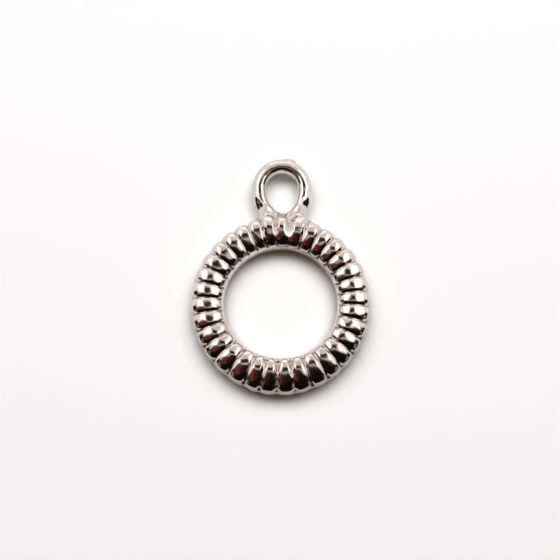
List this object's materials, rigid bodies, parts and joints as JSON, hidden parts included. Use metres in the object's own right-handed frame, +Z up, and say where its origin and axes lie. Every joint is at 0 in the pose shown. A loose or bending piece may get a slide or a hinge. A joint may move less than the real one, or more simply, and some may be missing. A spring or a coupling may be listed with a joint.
{
  "type": "ring pendant",
  "caption": "Small cast metal charm: a round ribbed ring with an egg-shaped eye on its rim, to hang from a jump ring.",
  "frame": {"origin": "under the middle of the pendant's outer box, on the surface that it lies on", "axes": "+Z up out of the surface, +Y from the ring towards the eye, +X to the right"},
  "size_m": [0.015, 0.0206, 0.0028],
  "materials": {
    "polished_metal": "polished silver tone with worn casting texture"
  },
  "bodies": {
    "root": {"cast_pendant": "polished_metal"}
  },
  "joints": []
}
